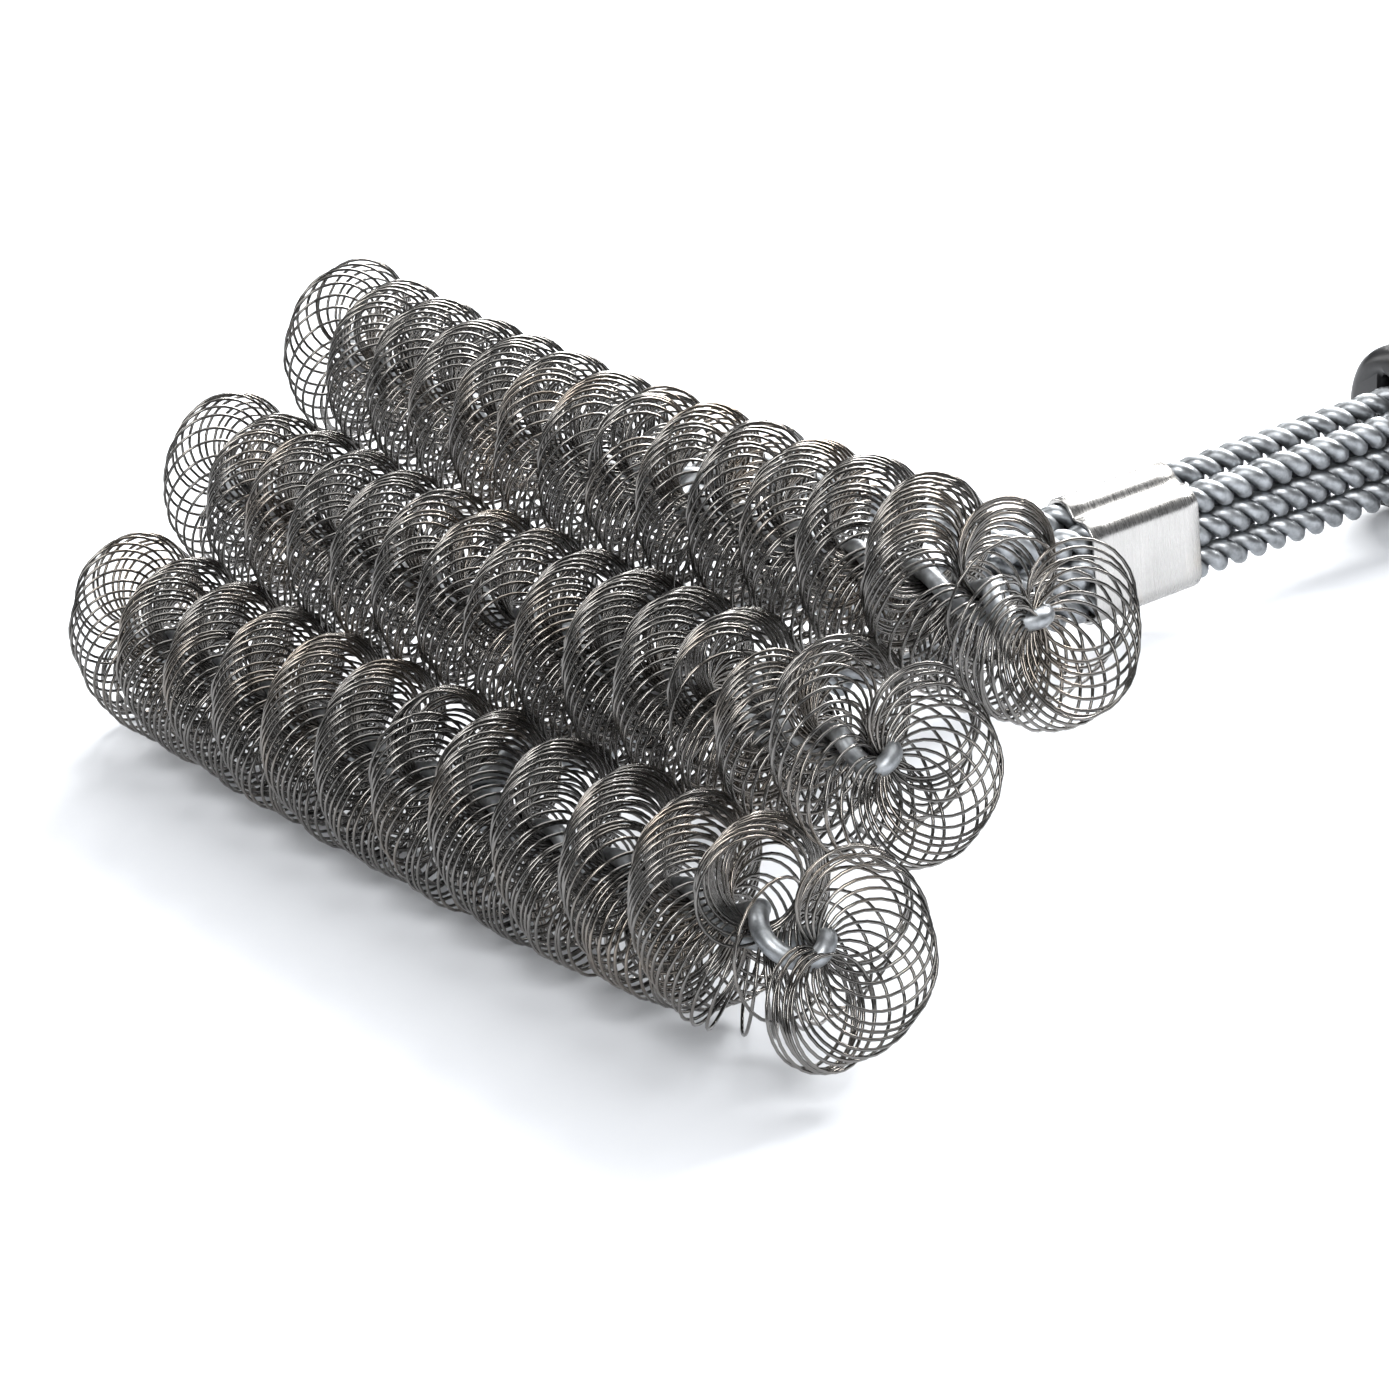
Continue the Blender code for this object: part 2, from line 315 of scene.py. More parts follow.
def mesh_object(name, vertices, quads, caps, material):
    """Make a smooth mesh object from arrays of corners, four-sided faces and end loops."""
    mesh = bpy.data.meshes.new(name)
    loops = [np.asarray(quads, np.int32).ravel()]
    starts = np.arange(len(quads), dtype=np.int32) * 4
    totals = np.full(len(quads), 4, np.int32)
    place = len(quads) * 4
    extra_starts = []
    extra_totals = []
    for cap in caps:
        loops.append(np.asarray(cap, np.int32))
        extra_starts.append(place)
        extra_totals.append(len(cap))
        place += len(cap)
    loops = np.concatenate(loops)
    mesh.vertices.add(len(vertices))
    mesh.vertices.foreach_set("co", np.asarray(vertices, np.float32).ravel())
    mesh.loops.add(len(loops))
    mesh.loops.foreach_set("vertex_index", loops)
    mesh.polygons.add(len(starts) + len(extra_starts))
    mesh.polygons.foreach_set(
        "loop_start", np.concatenate([starts, np.array(extra_starts, np.int32)]))
    mesh.polygons.foreach_set(
        "loop_total", np.concatenate([totals, np.array(extra_totals, np.int32)]))
    mesh.update(calc_edges=True)
    mesh.validate()
    mesh.polygons.foreach_set("use_smooth", np.ones(len(mesh.polygons), bool))
    mesh.materials.append(material)
    item = bpy.data.objects.new(name, mesh)
    bpy.context.scene.collection.objects.link(item)
    return item


def tube_caps(count, sides, offset=0):
    """Return the two end loops of a tube."""
    first = list(range(offset + sides - 1, offset - 1, -1))
    last = list(range(offset + (count - 1) * sides, offset + count * sides))
    return [first, last]


def flip_if_inside_out(item):
    """Turn the faces round if the mesh faces inwards."""
    work = bmesh.new()
    work.from_mesh(item.data)
    if work.calc_volume(signed=True) < 0.0:
        bmesh.ops.reverse_faces(work, faces=work.faces)
    work.to_mesh(item.data)
    work.free()


# ---------------------------------------------------------------------------
# Materials
# ---------------------------------------------------------------------------

def new_material(name):
    """Return an empty node material, its node tree and its shader."""
    material = bpy.data.materials.new(name)
    material.use_nodes = True
    tree = material.node_tree
    return material, tree, tree.nodes["Principled BSDF"]


def add_node(tree, kind, inputs=None, **settings):
    """Add a node with its settings and input values."""
    node = tree.nodes.new(kind)
    for key, value in settings.items():
        setattr(node, key, value)
    for key, value in (inputs or {}).items():
        node.inputs[key].default_value = value
    return node


def add_noise(tree, scale, detail=3.0, roughness=0.5, stretch=(1.0, 1.0, 1.0)):
    """Add a noise pattern in object space, stretched along the axes, and return its height."""
    place = add_node(tree, "ShaderNodeTexCoord")
    mapping = add_node(tree, "ShaderNodeMapping", {"Scale": stretch})
    noise = add_node(tree, "ShaderNodeTexNoise",
                     {"Scale": scale, "Detail": detail, "Roughness": roughness})
    tree.links.new(place.outputs["Object"], mapping.inputs["Vector"])
    tree.links.new(mapping.outputs["Vector"], noise.inputs["Vector"])
    return noise.outputs["Fac"]


def add_ramp(tree, factor, stops):
    """Add a colour ramp with its stops and return its colour."""
    ramp = tree.nodes.new("ShaderNodeValToRGB")
    while len(ramp.color_ramp.elements) < len(stops):
        ramp.color_ramp.elements.new(0.5)
    for element, (place, color) in zip(ramp.color_ramp.elements, stops):
        element.position = place
        element.color = (*color, 1.0)
    tree.links.new(factor, ramp.inputs["Fac"])
    return ramp.outputs["Color"]


def shade(color, factor):
    """Return a colour made lighter or darker."""
    return tuple(min(1.0, max(0.0, channel * factor)) for channel in color)


def add_range(tree, value, low, high):
    """Map a pattern from its middle range to a new range."""
    node = add_node(tree, "ShaderNodeMapRange",
                    {"From Min": 0.3, "From Max": 0.7, "To Min": low, "To Max": high})
    tree.links.new(value, node.inputs["Value"])
    return node.outputs["Result"]


def add_bump(tree, height, distance, strength, before=None):
    """Add a bump from a height pattern and return its normal."""
    node = add_node(tree, "ShaderNodeBump", {"Strength": strength, "Distance": distance})
    tree.links.new(height, node.inputs["Height"])
    if before is not None:
        tree.links.new(before, node.inputs["Normal"])
    return node.outputs["Normal"]


def spring_steel(settings):
    """Drawn spring wire: dark, bright where it catches light, with faint heat tint."""
    material, tree, shader = new_material("drawn_spring_steel")
    color = tuple(settings.color)
    broad = add_noise(tree, 60.0, 3.0)
    warm = (color[0] * 1.12, color[1] * 1.0, color[2] * 0.88)
    tint = add_ramp(tree, broad, [(0.30, shade(color, 0.72)), (0.52, color),
                                  (0.75, shade(warm, 1.12))])
    tree.links.new(tint, shader.inputs["Base Color"])
    fine = add_noise(tree, 900.0, 2.0)
    tree.links.new(add_range(tree, fine, 0.14, 0.24), shader.inputs["Roughness"])
    shader.inputs["Metallic"].default_value = 1.0
    return material


def galvanised_wire(settings):
    """Hot-dipped wire: satin zinc with soft mottling, dull patches and small dents."""
    material, tree, shader = new_material("galvanised_wire")
    color = tuple(settings.wire_color)
    mottle = add_noise(tree, 420.0, 4.0, 0.6)
    tint = add_ramp(tree, mottle, [(0.30, shade(color, 0.55)), (0.46, shade(color, 0.88)),
                                   (0.60, shade(color, 1.18)), (0.74, shade(color, 1.50))])
    tree.links.new(tint, shader.inputs["Base Color"])
    patch = add_noise(tree, 260.0, 3.0)
    tree.links.new(add_range(tree, patch, 0.30, 0.52), shader.inputs["Roughness"])
    shader.inputs["Metallic"].default_value = 0.88
    dents = add_noise(tree, 700.0, 3.0, 0.55)
    grain = add_noise(tree, 3200.0, 2.0)
    normal = add_bump(tree, dents, 0.00012, 0.35)
    normal = add_bump(tree, grain, 0.00002, 0.30, normal)
    tree.links.new(normal, shader.inputs["Normal"])
    return material


def sleeve_steel(settings):
    """Rolled sheet steel: fine upright scratches, a slight warm tint and rubbed patches."""
    material, tree, shader = new_material("rolled_sleeve_steel")
    color = tuple(settings.sleeve_color)
    warm = (color[0] * 1.05, color[1] * 0.99, color[2] * 0.91)
    scratches = add_noise(tree, 300.0, 4.0, 0.65, (4.0, 12.0, 0.6))
    cloud = add_noise(tree, 90.0, 3.0)
    tint = add_ramp(tree, cloud, [(0.30, shade(color, 0.90)), (0.55, color),
                                  (0.75, shade(warm, 1.05))])
    tree.links.new(tint, shader.inputs["Base Color"])
    tree.links.new(add_range(tree, scratches, 0.20, 0.36), shader.inputs["Roughness"])
    shader.inputs["Metallic"].default_value = 1.0
    pits = add_noise(tree, 1500.0, 2.0, 0.5, (1.0, 1.6, 0.7))
    normal = add_bump(tree, scratches, 0.00003, 0.30)
    normal = add_bump(tree, pits, 0.00002, 0.22, normal)
    tree.links.new(normal, shader.inputs["Normal"])
    return material


def handle_plastic(settings, name, grain, low, high):
    """Moulded plastic with a fine spark-eroded grain."""
    material, tree, shader = new_material(name)
    color = tuple(settings.plastic_color)
    cloud = add_noise(tree, 40.0, 2.0)
    tint = add_ramp(tree, cloud, [(0.3, shade(color, 0.85)), (0.7, shade(color, 1.25))])
    tree.links.new(tint, shader.inputs["Base Color"])
    rough = add_noise(tree, 160.0, 3.0)
    tree.links.new(add_range(tree, rough, low, high), shader.inputs["Roughness"])
    pattern = add_noise(tree, grain, 2.0)
    tree.links.new(add_bump(tree, pattern, 0.00006, 0.35), shader.inputs["Normal"])
    return material


def floor_paper(settings):
    """Pale matt studio floor with a hardly visible unevenness."""
    material, tree, shader = new_material("pale_floor")
    color = tuple(settings.floor_color)
    cloud = add_noise(tree, 6.0, 3.0)
    tint = add_ramp(tree, cloud, [(0.3, shade(color, 0.985)), (0.7, shade(color, 1.01))])
    tree.links.new(tint, shader.inputs["Base Color"])
    grain = add_noise(tree, 600.0, 2.0)
    tree.links.new(add_range(tree, grain, 0.55, 0.65), shader.inputs["Roughness"])
    return material


# ---------------------------------------------------------------------------
# Twisted wires
# ---------------------------------------------------------------------------

def smooth_step(value):
    """Ease from 0 to 1."""
    value = np.clip(value, 0.0, 1.0)
    return value * value * (3.0 - 2.0 * value)


def strand_spread(along):
    """Return how far a strand lies from the pair's axis, given the distance along the roll."""
    opened = 0.00150 + 0.0006 * smooth_step((along - 0.0640) / 0.0150)
    return np.where(along < 0.0, 0.00130, opened)


def bare_bulge(side, row_name, along, strand):
    """Return how far the strand that shows bare stands out of the roll."""
    if side < 0 or math.cos(bare_phase(row_name, strand) - CROSSING_ANGLE) < 0.0:
        return np.zeros_like(along)
    return BARE_BULGE * np.exp(-((along - BARE_PLACE[row_name]) / 0.0042) ** 2)


def bare_phase(row_name, strand):
    """Return the angle of a strand where one strand of its pair shows bare."""
    return float(roll_phase(row_name, BARE_PLACE[row_name])) + strand * math.pi


def twist_angles(side, row_name, row, path, even, stem):
    """Return the twist angle at every point of a core path and the distance along the roll."""
    along = side * path[:, 0]
    y = roll_centre(row)[0]
    start = np.argmax(along > 0.0078)
    angle = np.zeros(len(path))
    angle[start:] = roll_phase(row_name, path[start:, 0])
    pitch = np.where(path[:, 1] > SLEEVE_FRONT - 0.004, stem.stem_pitch, stem.neck_pitch)
    near_roll = smooth_step((y + 0.022 - path[:, 1]) / 0.022)
    pitch = pitch + near_roll * (2.0 * EVEN_CROSSINGS[row_name][1] - pitch)
    rate = side * 2.0 * math.pi / pitch
    step = even[1] - even[0]
    for index in range(start - 1, -1, -1):
        angle[index] = angle[index + 1] - rate[index] * step
    mouth = int(np.argmax(path[:, 1] < SLEEVE_FRONT - 0.004))
    wanted = math.radians(90.0 + 40.0 * row)
    error = (wanted - angle[mouth] + math.pi) % (2.0 * math.pi) - math.pi
    share = np.clip((start - np.arange(len(path))) / (start - mouth), 0.0, 1.0)
    angle += error * share
    in_roll = np.where(np.arange(len(path)) >= start, along, -1.0)
    return angle, in_roll


def hairpin_line(side, row_name, row, stem):
    """Return the centre line of one folded wire, out along one strand and back along the other."""
    path, even = core_path(side, row, 0.00045)
    tangent, first, second = core_frames(path, side)
    angle, in_roll = twist_angles(side, row_name, row, path, even, stem)
    spread = strand_spread(in_roll)
    blend = np.convolve(np.pad(spread, 12, mode="edge"), np.ones(25) / 25.0, mode="valid")
    outward = np.cos(angle)[:, None] * first + np.sin(angle)[:, None] * second
    reach_a = blend + bare_bulge(side, row_name, in_roll, 0)
    reach_b = blend + bare_bulge(side, row_name, in_roll, 1)
    strand_a = path + reach_a[:, None] * outward
    strand_b = path - reach_b[:, None] * outward
    tip = path[-1]
    ahead = tangent[-1]
    turns = np.linspace(0.0, math.pi, 14)[1:-1]
    bend = [tip + blend[-1] * (math.cos(turn) * outward[-1] + math.sin(turn) * ahead)
            for turn in turns]
    bend_out = [math.cos(turn) * outward[-1] + math.sin(turn) * ahead for turn in turns]
    line = np.concatenate([strand_a, np.array(bend), strand_b[::-1]])
    normal = np.concatenate([outward, np.array(bend_out), -outward[::-1]])
    return line, normal


def make_twisted_wire(side_name, side, row_name, row, stem, material):
    """Make one folded and twisted galvanised wire."""
    line, normal = hairpin_line(side, row_name, row, stem)
    sides = 12
    rng = np.random.default_rng(40 + 3 * row + side)
    wobble = np.convolve(rng.normal(0.0, 1.0, len(line) + 40), np.ones(41) / 41.0, mode="valid")
    radius = 0.5 * stem.wire_diameter * (1.0 + 0.035 * wobble)
    vertices, faces = tube_mesh(line, normal, radius, sides)
    name = row_name + "_" + side_name + "_twisted_wire_pair"
    item = mesh_object(name, vertices, faces, tube_caps(len(line), sides), material)
    flip_if_inside_out(item)
    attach(item, "root")
    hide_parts(row_name + "_" + side_name + "_twisted_wire")
    return item


# ---------------------------------------------------------------------------
# Coil springs
# ---------------------------------------------------------------------------

def spring_stations(side, row_name, row, rolls):
    """Return where every winding sits: its middle, its two plane directions and its radius.

    The spring is threaded on the folded wire, so it runs out along one strand, round the bend at
    the tip and back along the other strand.
    """
    rng = np.random.default_rng(7 + 11 * (row + 1) + (side + 1))
    reach = reach_along(side, row)
    inner = 0.0006
    bare = BARE_PLACE[row_name]
    stations = []

    def clear_of_gap(along, strand):
        """Push a winding off the bare stretch, or gather it where the front roll is pinched."""
        phase = roll_phase(row_name, along) + strand * math.pi
        facing = math.cos(phase - CROSSING_ANGLE) > 0.0
        if (row_name, side) == ("front", 1) and not facing:
            off = along - PINCHED_PLACE
            return PINCHED_PLACE + off * (1.0 - 0.6 * math.exp(-(off / 0.006) ** 2))
        off = along - bare
        if side < 0 or not facing or abs(off) > 3.0 * BARE_GAP:
            return along
        edge = BARE_GAP + abs(off) * 2.0 / 3.0
        return bare + math.copysign(edge, off)

    def leg(strand, start, stop):
        """Walk one strand and note its windings."""
        along = start
        way = 1.0 if stop > start else -1.0
        sway = 0.0
        while (stop - along) * way > 0.0:
            stations.append(("leg", strand, clear_of_gap(along, strand), rng.normal(0.0, 1.0, 3)))
            sway = 0.86 * sway + 0.14 * rng.normal()
            open_up = 0.55 * smooth_step((along - (reach - 0.013)) / 0.004)
            step = rolls.winding_step * (1.0 + open_up + 0.28 * sway + 0.10 * rng.normal())
            along += way * max(step, 0.4 * rolls.winding_step)

    leg(0, inner, reach)
    for index in range(1, BEND_WINDINGS):
        turn = math.pi * index / BEND_WINDINGS + 0.02 * rng.normal()
        stations.append(("bend", 0, turn, rng.normal(0.0, 1.0, 3)))
    leg(1, reach, inner)
    return stations


def station_frame(side, row_name, row, rolls, station):
    """Return the middle, the outward direction and the sideways direction of one winding."""
    kind, strand, value, jitter = station
    reach = reach_along(side, row)
    radius = rolls.winding_radius * (1.0 + 0.018 * jitter[0])
    along = value if kind == "leg" else reach
    axis_point = roll_point(side, row, along)
    longer = roll_point(side, row, along + 0.001) - roll_point(side, row, along - 0.001)
    axis = unit(longer) * side
    first = unit(np.array([0.0, 1.0, 0.0]) - axis * axis[1])
    second = np.cross(axis, first)
    phase = float(roll_phase(row_name, axis_point[0]))
    tip_part = smooth_step((along - (reach - TIP_LENGTH)) / TIP_LENGTH)
    lean = rolls.lean + tip_part * (rolls.tip_lean - rolls.lean) + 0.055 * jitter[1]
    if (row_name, side) == ("front", 1) and kind == "leg":
        hanging = math.cos(bare_phase(row_name, strand) - CROSSING_ANGLE) < 0.0
        lean += PINCHED_LEAN * hanging * math.exp(-((along - PINCHED_PLACE) / 0.0036) ** 2)
    round_bend = math.sin(value) if kind == "bend" else 0.0
    phase += value if kind == "bend" else strand * math.pi + 0.05 * jitter[2]
    radial = math.cos(phase) * first + math.sin(phase) * second
    around = -math.sin(phase) * first + math.cos(phase) * second
    ahead = axis * side
    dome_share = RIGHT_DOME if side > 0 else LEFT_DOME
    tilt = rolls.dome * (0.5 * tip_part + 0.7 * round_bend) * dome_share
    outward = math.cos(tilt) * radial + math.sin(tilt) * ahead
    sideways = math.cos(lean) * around - math.sin(lean) * axis
    radius *= 1.0 + 0.03 * tip_part
    middle = axis_point + 0.0008 * round_bend * ahead + outward * (radius + 0.0002)
    return middle, unit(outward), unit(sideways), radius


def make_coil_spring(side_name, side, row_name, row, rolls, material):
    """Make the spring of one half roll as one continuous wound wire."""
    stations = spring_stations(side, row_name, row, rolls)
    frames = [station_frame(side, row_name, row, rolls, station) for station in stations]
    middles = np.array([entry[0] for entry in frames])
    outs = np.array([entry[1] for entry in frames])
    sideways = np.array([entry[2] for entry in frames])
    radii = np.array([entry[3] for entry in frames])
    per_winding = 30
    places = np.arange(0, (len(frames) - 1) * per_winding + 1) / per_winding
    base = np.minimum(places.astype(int), len(frames) - 2)
    part = (places - base)[:, None]
    blend = [array[base] * (1.0 - part) + array[base + 1] * part
             for array in (middles, outs, sideways)]
    radius = radii[base] * (1.0 - part[:, 0]) + radii[base + 1] * part[:, 0]
    middle = blend[0]
    outward = unit(blend[1])
    across = unit(blend[2] - outward * np.sum(blend[2] * outward, axis=1)[:, None])
    turn = math.pi + 2.0 * math.pi * places
    ring = np.cos(turn)[:, None] * outward + np.sin(turn)[:, None] * across
    line = middle + radius[:, None] * ring
    sides = 5
    vertices, faces = tube_mesh(line, ring, 0.5 * rolls.wire_diameter, sides)
    name = row_name + "_" + side_name + "_wound_spring"
    item = mesh_object(name, vertices, faces, tube_caps(len(line), sides), material)
    flip_if_inside_out(item)
    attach(item, "root")
    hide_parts(row_name + "_" + side_name + "_coil_spring")
    return item


# ---------------------------------------------------------------------------
# Sleeve
# ---------------------------------------------------------------------------

def sleeve_outline(grow):
    """Return the closed outline of the crimped sleeve in X and Z, grown outward by a thickness."""
    reach = 0.00265 + grow
    columns = ((PAIR_COLUMN, STEM_HEIGHT - PAIR_STAGGER),
               (-PAIR_COLUMN, STEM_HEIGHT + PAIR_STAGGER))
    face = PAIR_COLUMN + reach
    count = 46
    places = face * np.sin(np.linspace(-math.pi / 2.0, math.pi / 2.0, count))
    top = np.full(count, -1.0)
    bottom = np.full(count, 1.0)
    for x, z in columns:
        arc = np.sqrt(np.maximum(reach * reach - (places - x) ** 2, 0.0))
        inside = np.abs(places - x) <= reach + 1e-9
        top = np.where(inside, np.maximum(top, z + PAIR_ROW + arc), top)
        bottom = np.where(inside, np.minimum(bottom, z - PAIR_ROW - arc), bottom)
    left_top = columns[1][1] + PAIR_ROW + reach
    right_top = columns[0][1] + PAIR_ROW + reach
    part = np.clip((places + PAIR_COLUMN) / (2.0 * PAIR_COLUMN), 0.0, 1.0)
    bridge_top = left_top + part * (right_top - left_top) - 0.00045
    left_low = columns[1][1] - PAIR_ROW - reach
    right_low = columns[0][1] - PAIR_ROW - reach
    bridge_low = left_low + part * (right_low - left_low) + 0.00035
    between = np.abs(places) < PAIR_COLUMN
    top = np.where(between, np.maximum(top, bridge_top), top)
    bottom = np.where(between, np.minimum(bottom, bridge_low), bottom)
    outline = [(x, z) for x, z in zip(places, top)]
    outline += [(x, z) for x, z in zip(places[::-1], bottom[::-1])]
    return np.array(outline)


def make_sleeve(material):
    """Make the sheet steel sleeve crimped round the bundle."""
    sheet = 0.00065
    outer = sleeve_outline(sheet)
    inner = sleeve_outline(0.0)
    edge = 0.00016
    middle = 0.5 * (outer + inner)
    stations = [(SLEEVE_FRONT, middle + 0.30 * (inner - middle)),
                (SLEEVE_FRONT, middle + 0.55 * (outer - middle)),
                (SLEEVE_FRONT + edge, outer)]
    for part in np.linspace(0.0, 1.0, 9)[1:-1]:
        y = SLEEVE_FRONT + edge + part * (SLEEVE_BACK - SLEEVE_FRONT - 2.0 * edge)
        stations.append((y, outer))
    stations += [(SLEEVE_BACK - edge, outer),
                 (SLEEVE_BACK, middle + 0.55 * (outer - middle)),
                 (SLEEVE_BACK, middle + 0.30 * (inner - middle)),
                 (SLEEVE_BACK - edge, inner),
                 (SLEEVE_FRONT + edge, inner)]
    count = len(outer)
    vertices = []
    for y, outline in stations:
        vertices += [(x, y, z) for x, z in outline]
    faces = []
    for ring in range(len(stations)):
        low = ring * count
        high = ((ring + 1) % len(stations)) * count
        for side in range(count):
            after = (side + 1) % count
            faces.append((low + side, low + after, high + after, high + side))
    item = mesh_object("crimped_stem_sleeve", np.array(vertices), np.array(faces), [], material)
    flip_if_inside_out(item)
    item.data.polygons.foreach_set("use_smooth", np.ones(len(item.data.polygons), bool))
    mark = item.modifiers.new("hard edges", "EDGE_SPLIT")
    mark.split_angle = math.radians(50.0)
    mark.use_edge_sharp = False
    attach(item, "root")
    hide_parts("stem_sleeve")
    return item


# ---------------------------------------------------------------------------
# Handle
# ---------------------------------------------------------------------------

def rounded_ring(y, half_width, low, high, power, count, floor=0.0):
    """Return one upright rounded ring, flat underneath."""
    middle = 0.5 * (low + high)
    half_height = 0.5 * (high - low)
    turns = 2.0 * math.pi * (np.arange(count) + 0.5) / count
    wide = np.sign(np.cos(turns)) * np.abs(np.cos(turns)) ** (2.0 / power) * half_width
    tall = middle + np.sign(np.sin(turns)) * np.abs(np.sin(turns)) ** (2.0 / power) * half_height
    lift = 0.0012
    tall = np.where(tall < floor + lift,
                    floor + lift * np.exp(np.minimum((tall - floor - lift) / lift, 0.0)), tall)
    tall = np.where(tall < floor + 0.35 * lift, floor, tall)
    return np.stack([wide, np.full(count, y), tall], axis=1)


def smooth_stations(stations, spacing):
    """Return handle stations with soft curves between the given ones."""
    table = np.array(stations, float)
    length = table[-1, 0] - table[0, 0]
    places = np.linspace(table[0, 0], table[-1, 0], max(int(length / spacing), 2) + 1)
    rows = []
    for place in places:
        index = int(np.clip(np.searchsorted(table[:, 0], place) - 1, 0, len(table) - 2))
        before = table[max(index - 1, 0)]
        here = table[index]
        there = table[index + 1]
        after = table[min(index + 2, len(table) - 1)]
        span = there[0] - here[0]
        part = (place - here[0]) / span
        slope_here = (there - before) / max(there[0] - before[0], 1e-9) * span
        slope_there = (after - here) / max(after[0] - here[0], 1e-9) * span
        a = 2 * part ** 3 - 3 * part ** 2 + 1
        b = part ** 3 - 2 * part ** 2 + part
        c = -2 * part ** 3 + 3 * part ** 2
        d = part ** 3 - part ** 2
        row = a * here + b * slope_here + c * there + d * slope_there
        row[0] = place
        rows.append(row)
    return rows


def loft(name, rings, material, close):
    """Make a lofted shell from equal rings; close joins the last ring to the first."""
    count = len(rings[0])
    vertices = np.concatenate(rings)
    steps = len(rings) if close else len(rings) - 1
    base = np.arange(steps)[:, None] * count
    over = ((np.arange(steps) + 1) % len(rings))[:, None] * count
    side = np.arange(count)[None, :]
    after = (side + 1) % count
    faces = np.stack([base + side, base + after, over + after, over + side], axis=2).reshape(-1, 4)
    caps = [] if close else [list(range(count - 1, -1, -1)),
                             list(range((len(rings) - 1) * count, len(rings) * count))]
    item = mesh_object(name, vertices, faces, caps, material)
    flip_if_inside_out(item)
    return item


def pocket_ring(y, count):
    """Return the opening that takes the wire bundle."""
    half_width = PAIR_COLUMN + 0.0029
    half_height = PAIR_ROW + 0.0030
    turns = 2.0 * math.pi * (np.arange(count) + 0.5) / count
    wide = np.sign(np.cos(turns)) * np.abs(np.cos(turns)) ** (2.0 / 7.0) * half_width
    tall = np.sign(np.sin(turns)) * np.abs(np.sin(turns)) ** (2.0 / 7.0) * half_height
    tall = STEM_HEIGHT + tall - PAIR_STAGGER / PAIR_COLUMN * wide
    return np.stack([wide, np.full(count, y), tall], axis=1)


def finish_handle_piece(item, node):
    """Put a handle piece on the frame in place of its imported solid."""
    split = item.modifiers.new("hard edges", "EDGE_SPLIT")
    split.split_angle = math.radians(42.0)
    split.use_edge_sharp = False
    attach(item, "root")
    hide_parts(node)


def make_collar(material):
    """Make the collar where the stem enters the handle."""
    low, high = box_of("handle_collar")
    front = low[1]
    back = high[1]
    count = 96
    stations = [(front, 0.0112, -0.0010, 0.0244),
                (front + 0.0002, 0.0119, -0.0013, 0.0252),
                (front + 0.0007, 0.0126, -0.0015, 0.0259),
                (front + 0.0016, 0.0132, -0.0017, 0.0265),
                (front + 0.0030, 0.0136, -0.0018, 0.0268),
                (front + 0.0096, 0.0136, -0.0018, 0.0268),
                (front + 0.0100, 0.0132, -0.0016, 0.0264),
                (front + 0.0104, 0.0132, -0.0016, 0.0264),
                (front + 0.0108, 0.0136, -0.0018, 0.0268),
                (back - 0.0008, 0.0136, -0.0018, 0.0268),
                (back - 0.0002, 0.0132, -0.0016, 0.0264),
                (back, 0.0128, -0.0014, 0.0260)]
    rings = [rounded_ring(*station, 2.7, count) for station in stations]
    rings.append(pocket_ring(back, count))
    rings.append(pocket_ring(front + 0.0006, count))
    centre = np.array([0.0, front, STEM_HEIGHT])
    lip = pocket_ring(front, count)
    rings.append(centre + (lip - centre) * 1.08)
    item = loft("handle_front_collar", rings, material, True)
    finish_handle_piece(item, "handle_collar")
    return item


def make_grip(material):
    """Make the long grip with shallow finger grooves across its top and sides."""
    low, high = box_of("handle_grip")
    front = low[1]
    back = high[1]
    count = 96
    ends = 0.0012
    body = [(front + ends, 0.0130, -0.0018, 0.0262),
            (front + 0.0207, 0.0120, -0.0018, 0.0245),
            (front + 0.0407, 0.0122, -0.0018, 0.0243),
            (front + 0.0677, 0.0140, -0.0018, 0.0262),
            (front + 0.1027, 0.0154, -0.0018, 0.0276),
            (front + 0.1377, 0.0150, -0.0018, 0.0268),
            (front + 0.1677, 0.0134, -0.0018, 0.0240),
            (front + 0.1867, 0.0132, -0.0018, 0.0222),
            (back - ends, 0.0142, -0.0018, 0.0212)]
    stations = [(front, 0.0122, -0.0012, 0.0254), (front + 0.0004, 0.0127, -0.0015, 0.0259)]
    stations += [tuple(row) for row in smooth_stations(body, 0.0008)]
    stations += [(back - 0.0004, 0.0140, -0.0016, 0.0210), (back, 0.0136, -0.0012, 0.0206)]
    rings = []
    turns = 2.0 * math.pi * (np.arange(count) + 0.5) / count
    upper = smooth_step((np.sin(turns) + 0.35) / 0.5)
    for y, half_width, bottom, top in stations:
        ring = rounded_ring(y, half_width, bottom, top, 2.7, count)
        middle = np.array([0.0, y, 0.5 * (bottom + top)])
        place = (y - (front + 0.0560)) / 0.0090
        wave = 0.5 - 0.5 * math.cos(2.0 * math.pi * place)
        inside = 1.0 if 0.0 < place < 10.0 else 0.0
        depth = 0.0007 * inside * wave ** 6
        direction = unit((ring - middle) * np.array([1.0, 0.0, 1.0]))
        ring = ring - direction * (depth * upper)[:, None]
        rings.append(ring)
    pocket = [pocket_ring(front + 0.0150, count), pocket_ring(front, count)]
    item = loft("moulded_handle_grip", pocket + rings, material, False)
    finish_handle_piece(item, "handle_grip")
    return item


